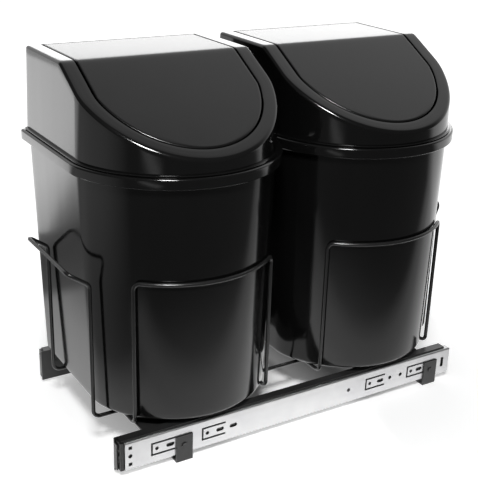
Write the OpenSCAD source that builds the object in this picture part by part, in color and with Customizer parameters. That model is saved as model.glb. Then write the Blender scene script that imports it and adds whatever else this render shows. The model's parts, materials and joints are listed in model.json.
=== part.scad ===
// Pull out bin frame: two lidded bins in wire cradles on a pair of ball bearing slides.
// Millimetres, +Z up. The origin is on the cabinet floor, at the middle of the floor screws.
// -Y is the way the frame pulls out, +X is the side that the sloping flaps face.

/* [Slides] */
// Length of the fixed slide members
slide_length = 450; // [400:5:500]
// Height of the fixed slide members
slide_height = 34; // [32:0.5:40]
// Thickness of a closed slide
slide_thickness = 12.7; // [12.5:0.1:14]
// Sheet thickness of the slide members
slide_sheet = 1.2; // [1:0.05:1.3]
// Height of the slides above the cabinet floor
slide_ground = 8; // [6:0.5:12]
// Depth of the fixed channel's flanges
channel_depth = 9; // [8.6:0.1:9.4]
// Outer radius of the fixed channel's bends
channel_bend = 2; // [1.2:0.1:2.2]
// Diameter of the slide balls
ball_diameter = 3.6; // [3.2:0.05:3.8]
// Balls in each row
balls_per_row = 8; // [5:1:10]
// Distance between neighbouring balls
ball_pitch = 12; // [8:0.5:14]
// Length of the plastic cap on the middle member
cap_length = 4.2; // [3:0.1:5]
// Length of the plastic stop at the rear
buffer_length = 6; // [4:0.5:10]

/* [Slide holes] */
// Radius of the wall screw holes
wall_hole_radius = 2.2; // [1.8:0.1:2.6]
// Front wall screw hole, from the slide's front end
front_wall_hole_at = 37; // [34:0.5:42]
// Rear wall screw hole, from the slide's rear end
rear_wall_hole_at = 62; // [58:0.5:66]
// Length of the punched tabs
tab_length = 30; // [26:0.5:34]
// Height of the punched tabs
tab_height = 16; // [12:0.5:18]
// Width of the slit around a punched tab
tab_slit = 2.2; // [1:0.1:3]

/* [Floor strips] */
// Width of a floor strip
strip_width = 20; // [16:0.5:28]
// Sheet thickness of the floor strips
strip_sheet = 1.8; // [1.2:0.1:2.5]
// Height of the strips' upturned ends
strip_tab_height = 32; // [28:0.5:38]
// Front strip's middle, from the slide's front end
front_strip_at = 69.5; // [66:0.5:84]
// Rear strip's middle, from the slide's rear end
rear_strip_at = 31.5; // [26:0.5:36]
// Distance between the two floor screws of a strip
floor_screw_spread = 170; // [140:1:190]
// Radius of the floor screw holes
floor_hole_radius = 2.6; // [2:0.1:3.2]
// Height of the strips' rivets above the slides' bottom
strip_rivet_height = 12; // [9:0.5:14]
// Radius of the rivet shanks
rivet_radius = 2; // [1.5:0.1:2.4]
// Width of the rivet heads' edge around the shank
rivet_head_edge = 1.3; // [1:0.1:1.6]

/* [Moving frame] */
// Width across the outer faces of the side rails
frame_width = 217; // [205:1:230]
// Sheet thickness of the side rails and cross plates
frame_sheet = 1.5; // [1:0.1:2]
// Height of the side rails above the cabinet floor
rail_ground = 4.5; // [3.5:0.1:6]
// Width of the side rails' top flange outside the web
rail_flange = 9.2; // [9:0.1:12]
// Width of the side rails' front flange outside the web
rail_front_flange = 6; // [3:0.5:7]
// Depth of a cross plate along the slides
plate_depth = 100; // [80:1:115]
// Front plate's near edge, from the slide's front end
front_plate_at = 27.5; // [24:0.5:36]
// Rear plate's far edge, from the slide's rear end
rear_plate_at = 38; // [30:0.5:50]
// Height of the plates' folded ends
plate_fold = 12; // [8:0.5:13]
// How far the plates lie below the side rails' top
plate_drop = 3; // [2:0.1:4]
// Corner radius of the cross plates
plate_corner = 8; // [4:0.5:12]

/* [Wires] */
// Wire diameter
wire_diameter = 4.4; // [4:0.1:5]
// Centre line radius of the wire bends
wire_bend = 8; // [6:0.5:10]
// Distance between the two long wires
long_wire_spread = 118.4; // [100:1:135]
// Height of the end loops' upright legs
end_leg_height = 200; // [180:1:215]
// Rise of the end loops above their legs
end_bar_rise = 15.3; // [12:0.5:20]
// Reach of the front pull handle beyond its legs
front_handle_reach = 22.5; // [20:0.5:35]
// Reach of the rear bar beyond its legs
rear_handle_reach = 6; // [3:0.5:12]
// Height of the cradles' top wires
cradle_height = 211; // [190:1:225]
// Distance between the legs of a cradle
cradle_leg_spread = 164.6; // [150:1:172]

/* [Bins] */
// Height of a bin
bin_height = 274; // [255:1:300]
// Half width of a bin at the rim, without the rim
bin_top_half = 112.5; // [109:0.5:118]
// Half width of a bin at the bottom
bin_bottom_half = 105; // [100:0.5:108]
// Front of a bin at the rim, from the slides' middle plane
bin_top_front = 131; // [128:0.5:136]
// Front of a bin at the bottom, from the slides' middle plane
bin_bottom_front = 128.5; // [124:0.5:130]
// Back of a bin at the rim, from the slides' middle plane
bin_top_back = 106.5; // [105:0.5:112]
// Back of a bin at the bottom, from the slides' middle plane
bin_bottom_back = 104.5; // [100:0.5:105]
// Height of the drawn in foot of a bin
foot_height = 5; // [4:0.5:10]
// How far the foot is drawn in
foot_inset = 3; // [2:0.5:6]
// Wall thickness of the bins
bin_wall = 2.2; // [1.8:0.1:3]
// Width of the rim outside the bin's wall
rim_overhang = 7.1; // [6:0.1:8]
// Height of the rim's skirt
rim_skirt = 11.5; // [10:0.5:18]
// Gap between the rims of the two bins
rim_gap = 1.4; // [1:0.1:5]

/* [Lids] */
// Height of a lid above the bin's rim
lid_height = 92.5; // [85:0.5:105]
// Ledge of the rim outside the lid's base
rim_ledge = 3.5; // [2.5:0.1:4]
// Ledge of the lid's base outside its side walls
base_ledge = 3; // [2:0.1:4]
// Ledge of the lid's base outside its back wall
back_ledge = 0.6; // [0:0.1:2]
// How much each side wall leans in over the lid's height
lid_side_lean = 2.2; // [1.6:0.1:3.5]
// How much the back wall leans in over the lid's height
lid_back_lean = 4.1; // [3:0.1:5]
// Depth of the level top, back to bend
lid_top_depth = 98; // [93:0.5:103]
// Slope of the front panel in degrees
lid_slope = 29.2; // [27:0.2:30.5]
// Wall thickness of the lids
lid_wall = 2.2; // [1.8:0.1:2.6]
// Thickness of the lid's base flange
lid_base = 2; // [1.5:0.1:3]
// Depth of the ring that enters the bin
plug_depth = 9; // [6:0.5:12]
// Wall thickness of that ring
plug_wall = 1.8; // [1.4:0.1:2.4]

/* [Flaps] */
// Thickness of a flap
flap_sheet = 2.5; // [2:0.1:3]
// Side band of the lid beside the opening
side_band = 16.8; // [14:0.2:20]
// Front band of the lid ahead of the opening
front_band = 13.4; // [12:0.2:16]
// Pivot's place ahead of the bend
pivot_ahead = 9.75; // [9:0.25:12]
// Pivot's depth below the level top
pivot_drop = 14; // [13:0.25:16]
// Radius of the pivot pins
pin_radius = 3; // [2.5:0.1:3.5]
// Wall around the pivot pins
ear_wall = 4; // [3:0.1:5]
// Thickness of the flap's and the lid's ears
ear_sheet = 3; // [2:0.1:3.5]
// Inset of the flap's ears from the flap's edge
flap_ear_inset = 2; // [1.5:0.1:3]
// Offset of the lid's ears from the edge of the opening
lid_ear_offset = 1.5; // [1:0.1:2.5]

/* [Clearances] */
// Gap between fixed and moving slide members' webs
web_gap = 1; // [0.9:0.05:1.2]
// Play of the balls between their tracks
ball_play = 0.1; // [0.05:0.01:0.15]
// Gap between a slide's top and the moving frame above it
rail_gap = 0.3; // [0.3:0.05:0.6]
// Gap at the slide's ends between pieces that move apart
end_gap = 0.4; // [0.3:0.05:0.6]
// Play of a rivet in its hole
rivet_play = 0.05; // [0.03:0.01:0.1]
// Gap at the welded crossings of the wires
weld_gap = 0.05; // [0.02:0.01:0.1]
// Gap between a bin's wall and the wires around it
cradle_gap = 0.8; // [0.5:0.05:1.5]
// Gap between an end loop's legs and the bin beside them
end_leg_gap = 1.7; // [1:0.1:3]
// Gap under a piece that rests on another and lifts off
rest_gap = 0.3; // [0.25:0.05:0.4]
// Gap between the lid's ring and the bin's wall
plug_gap = 0.6; // [0.4:0.05:1]
// Gap between a flap and the lid around it
flap_gap = 2; // [1.7:0.1:2.6]
// Running clearance of the pivot pins
pin_play = 0.08; // [0.03:0.01:0.1]

/* [View] */
// The sub-part to draw, or all of them

/* [Hidden] */
$fn = 96;
reach = 400;
cut = 1;
STEEL = [0.80, 0.80, 0.80];
ZINC = [0.72, 0.72, 0.73];
BLACK_STEEL = [0.07, 0.07, 0.07];
BLACK_WIRE = [0.05, 0.05, 0.05];
CAP_BLACK = [0.09, 0.09, 0.09];
GLOSS_BLACK = [0.03, 0.03, 0.03];
FLAP_GREY = [0.14, 0.14, 0.14];

// Places along the slides
slide_front = -(front_strip_at + slide_length - rear_strip_at) / 2;
slide_rear = slide_front + slide_length;
slide_middle = slide_front + slide_length / 2;
front_strip_y = slide_front + front_strip_at;
rear_strip_y = slide_rear - rear_strip_at;
rail_front = slide_front - end_gap - cap_length - end_gap - frame_sheet;
inner_rear = slide_rear - buffer_length - end_gap;

// Slide section: depth is counted in from the outer face, height up from the bottom
slide_face = frame_width / 2 + slide_thickness;
ball_space = ball_diameter + 2 * ball_play;
middle_low = slide_sheet + ball_space;
drawer_low = middle_low + slide_sheet + ball_space;
middle_web = slide_sheet + web_gap;
middle_reach = 0.8;
middle_depth = channel_depth + middle_reach;
cage_sheet = 0.4;
cage_strip = 0.8;
cage_margin = 0.3;
outer_cage_web = slide_sheet + cage_margin;
inner_cage_web = middle_web + slide_sheet + cage_margin;
drawer_gap = 0.5;
drawer_edge = inner_cage_web + cage_sheet + drawer_gap;
lip_sheet = 0.7;
lip_height = 0.8;
ball_radius = ball_diameter / 2;
outer_ball_depth = 5.5;
inner_ball_inset = 0.8;
inner_ball_depth = drawer_edge + ball_radius + inner_ball_inset;
outer_ball_low = slide_sheet + ball_space / 2;
inner_ball_low = middle_low + slide_sheet + ball_space / 2;
cage_hole_radius = ball_radius + 0.1;
cage_end = 28;
cage_length = (balls_per_row - 1) * ball_pitch + 2 * cage_end;

// Hole pattern of the fixed members: places from the front end and from the rear end
web_middle = slide_height / 2;
front_tabs = [30, 91.5];
rear_tabs = [133.5, 69];
rear_tab_slots = [110.5, 49.3];
tab_hole_inset = 7;
tab_slot_inset = 23;
slot_radius = 2.3;
slot_length = 5;
front_slot_at = 131.5;
rear_round_holes = [158.5, 95.5, 79];
round_hole_radius = 2.4;
end_hole_at = 6;
end_square = 4;
end_square_offset = 10;
rear_slot_at = 11;
rear_slot_length = 13;

// Heights of the moving frame
slide_top = slide_ground + slide_height;
rail_top = slide_top + rail_gap + frame_sheet;
plate_top = rail_top - plate_drop;
wire_radius = wire_diameter / 2;
bend_swell = 0.03;
bend_radius = wire_radius + bend_swell;
bend_overlap = 0.5;
long_wire_z = plate_top + wire_radius;
cross_wire_z = long_wire_z + wire_diameter + weld_gap;
rail_web = frame_width / 2;
rail_inside = rail_web - frame_sheet;
rivet_z = slide_ground + web_middle;
strip_rivet_z = slide_ground + strip_rivet_height;
rivet_head_radius = rivet_radius + rivet_head_edge;
rivet_head = 1.1;
rivet_sink = 0.1;
front_plate_y = slide_front + front_plate_at;
rear_plate_y = slide_rear - rear_plate_at - plate_depth;
rivet_margin = 20;
rail_end_margin = 13;
rail_rivet_ys = [
    slide_front + rail_end_margin,
    front_plate_y + plate_depth + rivet_margin,
    rear_plate_y - rivet_margin,
    inner_rear - rail_end_margin
];
front_flange_low = 3;
front_flange_high = 5;
relief = 2.5;

// Bins: a section is [half width, front, back], measured from the bin's middle
arc_bulge = 2.5;
cone_overrun = 4;
bin_bottom = cross_wire_z + wire_radius + rest_gap;
rim_z = bin_bottom + bin_height;
foot_z = bin_bottom + foot_height;
bin_floor = bin_wall + 0.3;
bin_bottom_section = [bin_bottom_half, bin_bottom_front, -bin_bottom_back];
bin_top_section = [bin_top_half, bin_top_front, -bin_top_back];
rim_half = bin_top_half + rim_overhang;
bin_offset = rim_half + rim_gap / 2;
front_bin_y = slide_middle - bin_offset;
rear_bin_y = slide_middle + bin_offset;

// Lids
lid_z = rim_z + rest_gap;
lid_top = rim_z + lid_height;
lid_flange_section = inset_section(bin_top_section, rim_ledge - rim_overhang);
lid_base_section = [
    lid_flange_section[0] - base_ledge,
    lid_flange_section[1] - base_ledge,
    lid_flange_section[2] + back_ledge
];
lid_top_section = [
    lid_base_section[0] - lid_side_lean,
    lid_base_section[1] - lid_side_lean,
    lid_base_section[2] + lid_back_lean
];
plug_section = inset_section(bin_section(rim_z - plug_depth), bin_wall + plug_gap);
bend_x = lid_top_section[2] + lid_top_depth;
opening_section = [
    lid_top_section[0] - side_band,
    lid_base_section[1] - front_band,
    lid_top_section[2] + lid_wall
];
flap_section = inset_section(opening_section, flap_gap);
pivot_x = bend_x + pivot_ahead;
pivot_z = lid_top - pivot_drop;
flap_ear_y = flap_section[0] - flap_ear_inset - ear_sheet;
lid_ear_y = opening_section[0] + lid_ear_offset;
pin_end = lid_ear_y + ear_sheet - rest_gap;
ear_radius = pin_radius + ear_wall;

// Wire routes
cradle_section = bin_section(cradle_height);
cradle_arc = cradle_section[0] + arc_bulge + cradle_gap + wire_radius;
cradle_centre = cradle_section[1] - cradle_section[0] - arc_bulge;
cradle_back = cradle_section[2] - cradle_gap - wire_radius;
cradle_half = cradle_leg_spread / 2;
arc_stub = 2;
arc_tail = wire_bend + arc_stub;
cradle_turn = asin(cradle_half / norm([cradle_arc, arc_tail])) - atan(arc_tail / cradle_arc);
long_half = long_wire_spread / 2;
end_leg_y = bin_offset + bin_section(end_leg_height)[0] + end_leg_gap + wire_radius;
end_bar_z = end_leg_height + end_bar_rise;

function unit(v) = v / norm(v);
function turn_angle(a, b) = acos(max(-1, min(1, a * b)));
function setback(a, b) = wire_bend * tan(turn_angle(a, b) / 2);
function inset_section(s, i) = [s[0] - i, s[1] - i, s[2] + i];
function mix(a, b, t) = a + (b - a) * t;
function bin_section(z) = mix(bin_bottom_section, bin_top_section, (z - bin_bottom) / bin_height);
function lid_section(z) = mix(lid_base_section, lid_top_section, (z - lid_z) / (lid_top - lid_z));

// Helpers

module on_right() {
    children();
}

module on_left() {
    mirror([1, 0, 0]) children();
}

module along_y(y0, y1) {
    translate([0, y1, 0]) rotate([90, 0, 0]) linear_extrude(y1 - y0) children();
}

module along_x(x0, x1) {
    translate([x0, 0, 0]) rotate([90, 0, 90]) linear_extrude(x1 - x0) children();
}

module box(low, high) {
    translate(low) cube(high - low);
}

// A rectangle of the slide's section, by depth from the outer face and height from the bottom
module bar(depth0, depth1, height0, height1) {
    translate([slide_face - depth1, slide_ground + height0]) square([depth1 - depth0, height1 - height0]);
}

// The same rectangle twice, mirrored about the slide's middle height
module bar_pair(depth0, depth1, height0, height1) {
    bar(depth0, depth1, height0, height1);
    bar(depth0, depth1, slide_height - height1, slide_height - height0);
}

module x_hole(x0, x1, y, z, radius) {
    translate([x0, y, z]) rotate([0, 90, 0]) cylinder(h = x1 - x0, r = radius);
}

module face_hole(y, height, radius) {
    x_hole(slide_face - slide_sheet - cut, slide_face + cut, y, slide_ground + height, radius);
}

module face_box(y0, y1, height0, height1) {
    box([slide_face - slide_sheet - cut, y0, slide_ground + height0],
        [slide_face + cut, y1, slide_ground + height1]);
}

module face_slot(y, height) {
    face_hole(y - slot_length / 2, height, slot_radius);
    face_hole(y + slot_length / 2, height, slot_radius);
    face_box(y - slot_length / 2, y + slot_length / 2, height - slot_radius, height + slot_radius);
}

// Slide pieces, drawn for the right side

module tab_cut(y) {
    low = web_middle - tab_height / 2;
    high = web_middle + tab_height / 2;
    face_box(y, y + tab_slit, low, high);
    face_box(y, y + tab_length, high - tab_slit, high);
    face_box(y, y + tab_length, low, low + tab_slit);
}

module end_holes() {
    y = slide_front + end_hole_at;
    face_hole(y, web_middle, round_hole_radius);
    for (side = [-1, 1]) {
        middle = web_middle + side * end_square_offset;
        face_box(y - end_square / 2, y + end_square / 2, middle - end_square / 2, middle + end_square / 2);
    }
    rear = slide_rear - rear_slot_at;
    face_box(rear - slot_radius, rear + slot_radius,
        web_middle - rear_slot_length / 2, web_middle + rear_slot_length / 2);
}

module web_holes() {
    for (at = front_tabs) {
        tab_cut(slide_front + at);
        face_slot(slide_front + at + tab_slot_inset, web_middle);
    }
    for (at = rear_tabs) {
        tab_cut(slide_rear - at);
    }
    for (at = rear_tab_slots) {
        face_slot(slide_rear - at, web_middle);
    }
    face_hole(slide_front + front_wall_hole_at, web_middle, wall_hole_radius);
    face_hole(slide_rear - rear_wall_hole_at, web_middle, wall_hole_radius);
    face_hole(slide_front + front_tabs[1] + tab_hole_inset, web_middle, wall_hole_radius);
    face_hole(slide_rear - rear_tabs[0] + tab_hole_inset, web_middle, wall_hole_radius);
    face_slot(slide_front + front_slot_at, web_middle);
    for (at = rear_round_holes) {
        face_hole(slide_rear - at, web_middle, round_hole_radius);
    }
    for (y = [front_strip_y, rear_strip_y]) {
        face_hole(y, strip_rivet_z - slide_ground, rivet_radius + rivet_play);
    }
    end_holes();
}

// What the bends take off the fixed channel's outer corners
module bend_cuts() {
    difference() {
        bar_pair(-cut, channel_bend, -cut, channel_bend);
        for (height = [channel_bend, slide_height - channel_bend]) {
            translate([slide_face - channel_bend, slide_ground + height]) circle(r = channel_bend);
        }
    }
}

module cabinet_rail() {
    lip_edge = channel_depth - lip_sheet;
    color(ZINC) difference() {
        along_y(slide_front, slide_rear) difference() {
            union() {
                bar(0, slide_sheet, 0, slide_height);
                bar_pair(0, channel_depth, 0, slide_sheet);
                bar_pair(lip_edge, channel_depth, 0, slide_sheet + lip_height);
            }
            bend_cuts();
        }
        web_holes();
    }
}

module middle_rail() {
    color(STEEL) along_y(slide_front - end_gap, inner_rear) {
        bar(middle_web, middle_web + slide_sheet, middle_low, slide_height - middle_low);
        bar_pair(middle_web, middle_depth, middle_low, middle_low + slide_sheet);
    }
}

module drawer_rail() {
    color(STEEL) difference() {
        along_y(rail_front + frame_sheet, inner_rear) {
            bar(slide_thickness - slide_sheet, slide_thickness, drawer_low, slide_height - drawer_low);
            bar_pair(drawer_edge, slide_thickness, drawer_low, drawer_low + slide_sheet);
        }
        for (y = rail_rivet_ys) {
            x_hole(rail_web - cut, rail_web + slide_sheet + cut, y, rivet_z, rivet_radius + rivet_play);
        }
    }
}

// Two rows of places, one above and one below, for the balls and the holes that hold them
module ball_rows(depth, low) {
    for (index = [0 : balls_per_row - 1]) {
        for (height = [low, slide_height - low]) {
            y = slide_middle + (index - (balls_per_row - 1) / 2) * ball_pitch;
            translate([slide_face - depth, y, slide_ground + height]) children();
        }
    }
}

module ball_cage(web_depth, strip_depth, ball_depth, low) {
    half = cage_length / 2;
    strip_low = low - cage_strip / 2;
    color(ZINC) difference() {
        along_y(slide_middle - half, slide_middle + half) {
            bar(web_depth, web_depth + cage_sheet, strip_low, slide_height - strip_low);
            bar_pair(web_depth, strip_depth, strip_low, low + cage_strip / 2);
        }
        ball_rows(ball_depth, low) cylinder(h = 2 * cut, r = cage_hole_radius, center = true);
    }
}

module outer_cage() {
    ball_cage(outer_cage_web, channel_depth - lip_sheet - cage_margin, outer_ball_depth, outer_ball_low);
}

module inner_cage() {
    ball_cage(inner_cage_web, inner_ball_depth + ball_radius + cage_strip, inner_ball_depth, inner_ball_low);
}

module outer_balls() {
    color(STEEL) ball_rows(outer_ball_depth, outer_ball_low) sphere(r = ball_radius);
}

module inner_balls() {
    color(STEEL) ball_rows(inner_ball_depth, inner_ball_low) sphere(r = ball_radius);
}

module middle_cap() {
    cap_edge = end_gap / 2;
    cap_depth = slide_thickness - end_gap - slide_sheet;
    window_low = drawer_low - end_gap;
    cap_y = slide_front - end_gap;
    color(CAP_BLACK) along_y(cap_y - cap_length, cap_y) difference() {
        bar(slide_sheet + web_gap / 2, cap_depth, cap_edge, slide_height - cap_edge);
        bar(drawer_edge - end_gap, slide_thickness + cut, window_low, slide_height - window_low);
    }
}

module rear_buffer() {
    color(CAP_BLACK) along_y(slide_rear - buffer_length, slide_rear)
        bar(slide_sheet, channel_depth - lip_sheet - cage_margin, slide_sheet, slide_height - slide_sheet);
}

// Floor strips

module floor_strip(y) {
    outside = slide_face + strip_sheet;
    color(BLACK_STEEL) difference() {
        along_y(y - strip_width / 2, y + strip_width / 2) {
            translate([-outside, 0]) square([2 * outside, strip_sheet]);
            for (x = [-outside, slide_face]) {
                translate([x, 0]) square([strip_sheet, strip_tab_height]);
            }
        }
        for (side = [-1, 1]) {
            translate([side * floor_screw_spread / 2, y, -cut])
                cylinder(h = strip_sheet + 2 * cut, r = floor_hole_radius);
        }
        x_hole(-outside - cut, outside + cut, y, strip_rivet_z, rivet_radius + rivet_play);
    }
}

module strip_rivet(y) {
    outside = slide_face + strip_sheet;
    x_hole(slide_face - slide_sheet + rivet_sink, outside + rivet_head, y, strip_rivet_z, rivet_radius);
    x_hole(outside, outside + rivet_head, y, strip_rivet_z, rivet_head_radius);
}

module strip_rivets() {
    color(BLACK_STEEL) for (y = [front_strip_y, rear_strip_y]) {
        on_right() strip_rivet(y);
        on_left() strip_rivet(y);
    }
}

// Moving frame

module side_rail() {
    flange_end = rail_front + frame_sheet;
    color(BLACK_STEEL) difference() {
        union() {
            along_y(rail_front, inner_rear) {
                translate([rail_inside, rail_ground]) square([frame_sheet, rail_top - rail_ground]);
                translate([rail_inside, rail_top - frame_sheet])
                    square([frame_sheet + rail_flange, frame_sheet]);
            }
            box([rail_inside, rail_front, rail_ground + front_flange_low],
                [rail_web + rail_front_flange, flange_end, rail_top - front_flange_high]);
        }
        box([rail_web, rail_front - cut, rail_top - front_flange_high],
            [rail_web + rail_flange + cut, flange_end + relief, rail_top + cut]);
        for (y = rail_rivet_ys) {
            x_hole(rail_inside - cut, rail_web + cut, y, rivet_z, rivet_radius + rivet_play);
        }
    }
}

module rail_rivet(y) {
    x_hole(rail_inside - rivet_head, rail_web + slide_sheet - rivet_sink, y, rivet_z, rivet_radius);
    x_hole(rail_inside - rivet_head, rail_inside, y, rivet_z, rivet_head_radius);
}

module rail_rivets() {
    color(BLACK_STEEL) for (y = rail_rivet_ys) {
        on_right() rail_rivet(y);
        on_left() rail_rivet(y);
    }
}

module plate_outline() {
    long = 2 * rail_inside;
    translate([-long / 2 + plate_corner, 0]) square([long - 2 * plate_corner, plate_depth]);
    translate([-long / 2, plate_corner]) square([long, plate_depth - 2 * plate_corner]);
    for (x = [-1, 1]) {
        for (y = [plate_corner, plate_depth - plate_corner]) {
            translate([x * (long / 2 - plate_corner), y]) circle(r = plate_corner);
        }
    }
}

module cross_plate(y) {
    color(BLACK_STEEL) {
        translate([0, y, plate_top - frame_sheet]) linear_extrude(frame_sheet) plate_outline();
        for (x = [-rail_inside, rail_inside - frame_sheet]) {
            box([x, y + plate_corner, plate_top - plate_fold],
                [x + frame_sheet, y + plate_depth - plate_corner, plate_top]);
        }
    }
}

// Wires

// A straight run whose ends reach a little way into the bends
module wire_run(p, q) {
    way = q - p;
    length = norm(way) + 2 * bend_overlap;
    translate(p - unit(way) * bend_overlap) rotate([0, acos(unit(way)[2]), atan2(way[1], way[0])])
        cylinder(h = length, r = wire_radius);
}

// The arc that rounds the corner p between the directions a and b
module wire_corner(p, a, b) {
    axis = unit(cross(a, b));
    inward = cross(axis, a);
    c = p - a * setback(a, b) + inward * wire_bend;
    multmatrix([
        [-inward[0], a[0], axis[0], c[0]],
        [-inward[1], a[1], axis[1], c[1]],
        [-inward[2], a[2], axis[2], c[2]],
        [0, 0, 0, 1]
    ]) rotate_extrude(angle = turn_angle(a, b)) translate([wire_bend, 0]) circle(r = bend_radius);
}

// A wire through the given points, rounded at each corner; a closed one also joins its ends
module wire(points, closed) {
    count = len(points);
    runs = closed ? count : count - 1;
    ways = [for (i = [0 : runs - 1]) unit(points[(i + 1) % count] - points[i])];
    bends = closed ? [0 : count - 1] : [1 : count - 2];
    backs = [for (i = [0 : count - 1])
        closed || (i > 0 && i < count - 1) ? setback(ways[(i + runs - 1) % runs], ways[i]) : 0];
    for (i = [0 : runs - 1]) {
        after = (i + 1) % count;
        wire_run(points[i] + ways[i] * backs[i], points[after] - ways[i] * backs[after]);
    }
    for (i = bends) {
        wire_corner(points[i], ways[(i + runs - 1) % runs], ways[i]);
    }
}

module long_wire() {
    front = slide_middle - end_leg_y;
    rear = slide_middle + end_leg_y;
    right_side = [
        [long_half, front - front_handle_reach, end_bar_z],
        [long_half, front, end_leg_height],
        [long_half, front, long_wire_z],
        [long_half, rear, long_wire_z],
        [long_half, rear, end_leg_height],
        [long_half, rear + rear_handle_reach, end_bar_z]
    ];
    last = len(right_side) - 1;
    left_side = [for (i = [last : -1 : 0]) [-right_side[i][0], right_side[i][1], right_side[i][2]]];
    color(BLACK_WIRE) wire(concat(right_side, left_side), true);
}

module cradle(y) {
    arc_end = [
        cradle_centre + cradle_arc * cos(cradle_turn),
        cradle_arc * sin(cradle_turn),
        cradle_height
    ];
    corner = arc_end + arc_tail * [-sin(cradle_turn), cos(cradle_turn), 0];
    rear_side = [
        arc_end,
        corner,
        [corner[0], corner[1], cross_wire_z],
        [cradle_back, corner[1], cross_wire_z],
        [cradle_back, corner[1], cradle_height]
    ];
    last = len(rear_side) - 1;
    front_side = [for (i = [last : -1 : 0]) [rear_side[i][0], -rear_side[i][1], rear_side[i][2]]];
    color(BLACK_WIRE) translate([0, y, 0]) {
        wire(concat(rear_side, front_side), false);
        translate([cradle_centre, 0, cradle_height]) rotate([0, 0, -cradle_turn])
            rotate_extrude(angle = 2 * cradle_turn) translate([cradle_arc, 0]) circle(r = bend_radius);
    }
}

// Bins and lids

// A D shaped block between two levels, with flat sides and back and a round front
module dee(z0, z1, low, high) {
    low_centre = low[1] - low[0] - arc_bulge;
    high_centre = high[1] - high[0] - arc_bulge;
    rise = z1 - z0;
    way = [high_centre - low_centre, rise];
    grow = (high[0] - low[0]) / norm(way) * cone_overrun;
    intersection() {
        union() {
            translate([low_centre, 0, z0])
                rotate([0, atan2(way[0], rise), 0])
                    translate([0, 0, -cone_overrun])
                        cylinder(h = norm(way) + 2 * cone_overrun, r1 = low[0] + arc_bulge - grow,
                            r2 = high[0] + arc_bulge + grow);
            along_y(-reach, reach)
                polygon([[-reach, z0], [low_centre, z0], [high_centre, z1], [-reach, z1]]);
        }
        along_x(-reach, reach) polygon([[-low[0], z0], [low[0], z0], [high[0], z1], [-high[0], z1]]);
        along_y(-reach, reach) polygon([[low[2], z0], [reach, z0], [reach, z1], [high[2], z1]]);
    }
}

module bin_form(inset, z0, z1) {
    foot_low = inset_section(bin_section(bin_bottom), foot_inset + inset);
    foot_high = inset_section(bin_section(foot_z), inset);
    dee(z0, foot_z, mix(foot_low, foot_high, (z0 - bin_bottom) / foot_height), foot_high);
    dee(foot_z, z1, foot_high, inset_section(bin_section(z1), inset));
}

module bin_rim() {
    outer = inset_section(bin_top_section, -rim_overhang);
    inner = inset_section(outer, bin_wall);
    difference() {
        dee(rim_z - rim_skirt, rim_z, outer, outer);
        dee(rim_z - rim_skirt - cut, rim_z - bin_wall, inner, inner);
    }
}

module bin(y) {
    color(GLOSS_BLACK) translate([0, y, 0]) difference() {
        union() {
            bin_form(0, bin_bottom, rim_z);
            bin_rim();
        }
        bin_form(bin_wall, bin_bottom + bin_floor, rim_z + cut);
    }
}

// The lid's closed form, drawn in on every side by an inset
module lid_form(inset, z0) {
    slope_x = bend_x - inset * tan(lid_slope / 2);
    top = lid_top - inset;
    front = lid_base_section[1] + lid_height;
    intersection() {
        dee(z0, top, inset_section(lid_section(z0), inset), inset_section(lid_section(top), inset));
        along_y(-reach, reach) polygon([
            [-reach, z0 - cut],
            [-reach, top],
            [slope_x, top],
            [front, top - (front - slope_x) * tan(lid_slope)],
            [front, z0 - reach],
            [-reach, z0 - reach]
        ]);
    }
}

// Ears around the pivot, moulded to a panel and rooted halfway into its thickness
module ears(y, sheet) {
    intersection() {
        for (low = [y, -y - ear_sheet]) {
            along_y(low, low + ear_sheet) {
                translate([pivot_x, pivot_z]) circle(r = ear_radius);
                translate([pivot_x - ear_radius, pivot_z]) square([2 * ear_radius, pivot_drop]);
            }
        }
        lid_form(sheet / 2, lid_z + lid_base);
    }
}

module pivot_pins(radius, y0, y1) {
    for (low = [y0, -y1]) {
        translate([pivot_x, low + y1 - y0, pivot_z]) rotate([90, 0, 0]) cylinder(h = y1 - y0, r = radius);
    }
}

module lid(y) {
    ring = inset_section(plug_section, plug_wall);
    inside = lid_z + lid_base;
    color(GLOSS_BLACK) translate([0, y, 0]) difference() {
        union() {
            difference() {
                union() {
                    lid_form(0, lid_z);
                    dee(lid_z, inside, lid_flange_section, lid_flange_section);
                    dee(lid_z - plug_depth, lid_z, plug_section, plug_section);
                }
                lid_form(lid_wall, inside);
                dee(lid_z - plug_depth - cut, inside, ring, ring);
                dee(inside, lid_top + cut, opening_section, opening_section);
            }
            ears(lid_ear_y, lid_wall);
        }
        pivot_pins(pin_radius + pin_play, lid_ear_y - cut, lid_ear_y + ear_sheet + cut);
    }
}

module flap(y) {
    color(FLAP_GREY) translate([0, y, 0]) {
        intersection() {
            difference() {
                lid_form(0, lid_z);
                lid_form(flap_sheet, lid_z - cut);
            }
            dee(lid_z + lid_base, lid_top + cut, flap_section, flap_section);
        }
        ears(flap_ear_y, flap_sheet);
        pivot_pins(pin_radius, flap_ear_y, pin_end);
    }
}

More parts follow.
